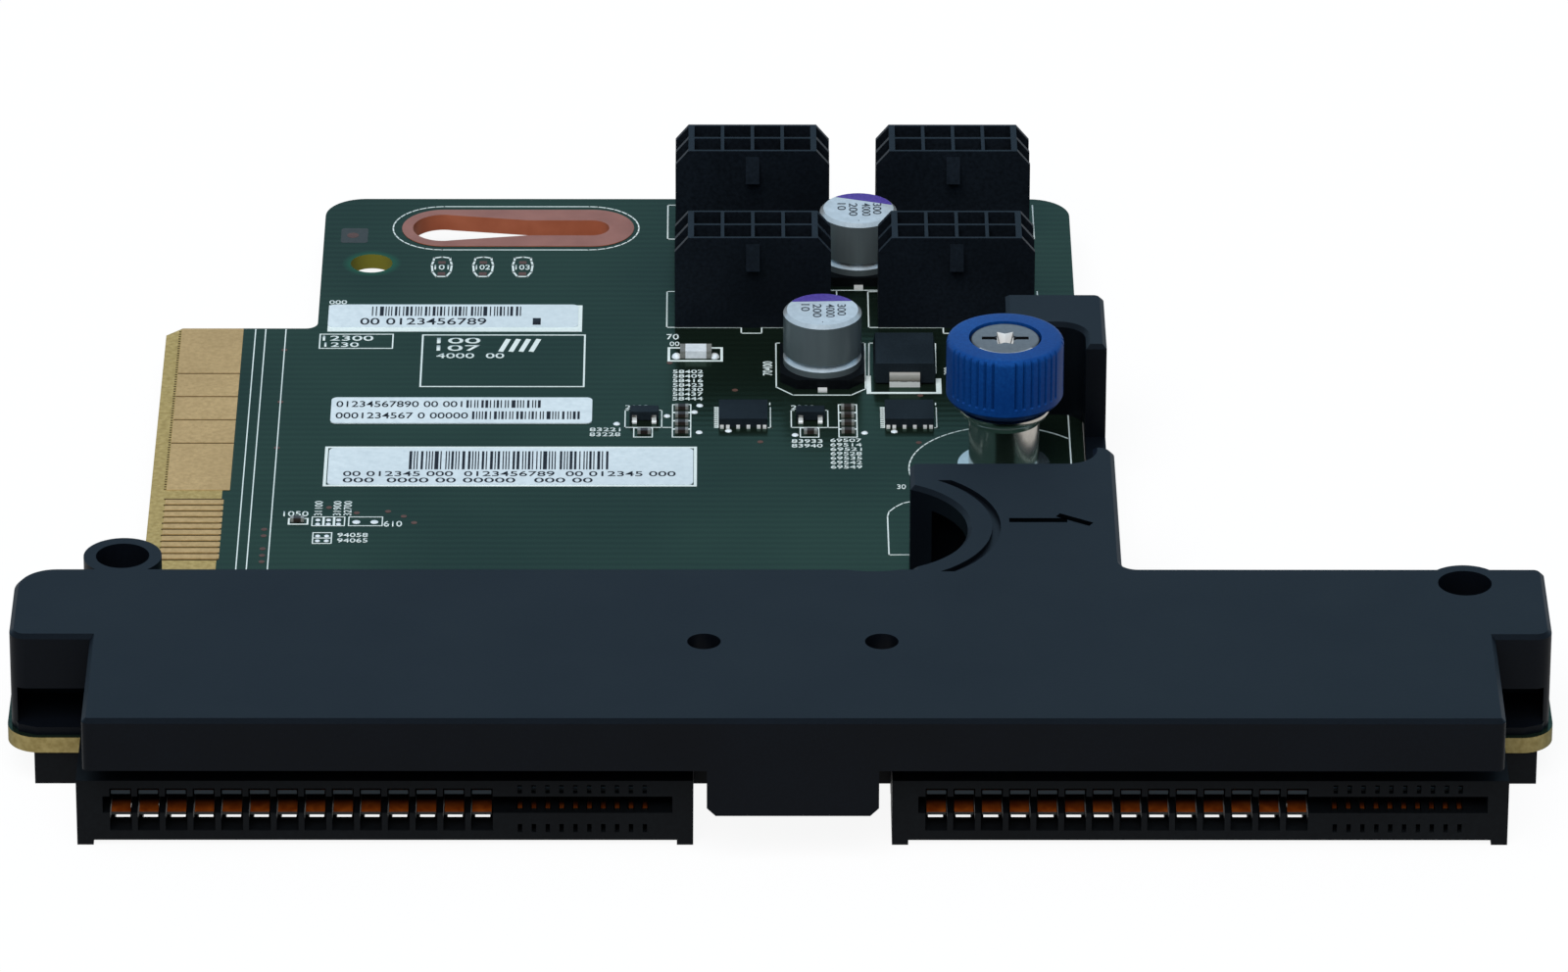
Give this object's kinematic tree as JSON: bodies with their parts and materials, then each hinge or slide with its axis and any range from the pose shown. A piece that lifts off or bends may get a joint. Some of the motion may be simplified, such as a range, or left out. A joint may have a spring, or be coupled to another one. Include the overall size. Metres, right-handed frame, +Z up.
{
  "type": "power distribution board",
  "caption": "Server power distribution board: circuit board with an edge tab, moulded cover over card-edge sockets, vertical power headers and a captive thumbscrew.",
  "frame": {"origin": "bottom centre of the bounding box, on the surface that the part stands on", "axes": "+X along the sockets to the right, +Y from the sockets to the board's back edge, +Z up off the board"},
  "size_m": [0.143, 0.1308, 0.0192],
  "materials": {
    "solder_mask": "glass-fibre board under a satin dark green solder mask",
    "bare_copper": "bare copper plating, dull",
    "gold_plate": "thin gold plate over nickel, satin",
    "cover_plastic": "fine-grained black moulding",
    "socket_plastic": "smooth black glass-filled moulding",
    "contact_bronze": "bright sprung bronze",
    "header_plastic": "smooth black moulding",
    "pin_tin": "tinned square wire",
    "can_aluminium": "drawn aluminium, satin",
    "capacitor_base_plastic": "smooth black moulding",
    "tin": "tin and solder, soft shine",
    "ceramic": "white ceramic",
    "moulding_compound": "dark grey epoxy moulding",
    "chip_coating": "dark glaze",
    "label_paper": "coated white paper, print left off",
    "blue_plastic": "satin blue moulding",
    "polished_steel": "polished plate",
    "screw_steel": "turned steel",
    "spring_steel": "drawn wire"
  },
  "bodies": {
    "board": {"chip_bodies": "chip_coating", "chip_end_caps": "tin", "circuit_board": "solder_mask", "cover": "cover_plastic", "edge_power_fingers": "gold_plate", "edge_signal_fingers": "gold_plate", "front_capacitor_base": "capacitor_base_plastic", "front_capacitor_can": "can_aluminium", "front_capacitor_leads": "tin", "front_label": "label_paper", "front_left_header_housing": "header_plastic", "front_left_header_pins": "pin_tin", "front_right_header_housing": "header_plastic", "front_right_header_pins": "pin_tin", "fuse_body": "ceramic", "fuse_end_caps": "tin", "keyhole_plating": "bare_copper", "left_power_contacts": "contact_bronze", "left_power_switch_body": "moulding_compound", "left_power_switch_leads": "tin", "left_signal_contacts": "contact_bronze", "left_socket_housing": "socket_plastic", "left_transistor_body": "moulding_compound", "left_transistor_leads": "tin", "middle_label": "label_paper", "rear_capacitor_base": "capacitor_base_plastic", "rear_capacitor_can": "can_aluminium", "rear_capacitor_leads": "tin", "rear_label": "label_paper", "rear_left_header_housing": "header_plastic", "rear_left_header_pins": "pin_tin", "rear_right_header_housing": "header_plastic", "rear_right_header_pins": "pin_tin", "right_power_contacts": "contact_bronze", "right_power_switch_body": "moulding_compound", "right_power_switch_leads": "tin", "right_signal_contacts": "contact_bronze", "right_socket_housing": "socket_plastic", "right_transistor_body": "moulding_compound", "right_transistor_leads": "tin", "surge_diode_body": "moulding_compound", "surge_diode_leads": "tin", "thumbscrew_sleeve": "screw_steel", "thumbscrew_spring": "spring_steel"},
    "collar": {"thumbscrew_collar": "polished_steel"},
    "knob": {"thumbscrew_knob": "blue_plastic", "thumbscrew_screw": "screw_steel"}
  },
  "joints": [
    {"name": "thumbscrew_slide", "type": "slide", "parent": "board", "child": "collar", "axis": [0, 0, 1], "range_m": [-0.0046, 0], "stiffness_N_per_m": 1000, "springref_m": 0.002, "deforming": ["thumbscrew_spring"]},
    {"name": "thumbscrew_turn", "type": "hinge", "parent": "collar", "child": "knob", "pos_m": [0.0218, 0.00475, 0.015], "axis": [0, 0, 1], "continuous": true}
  ]
}
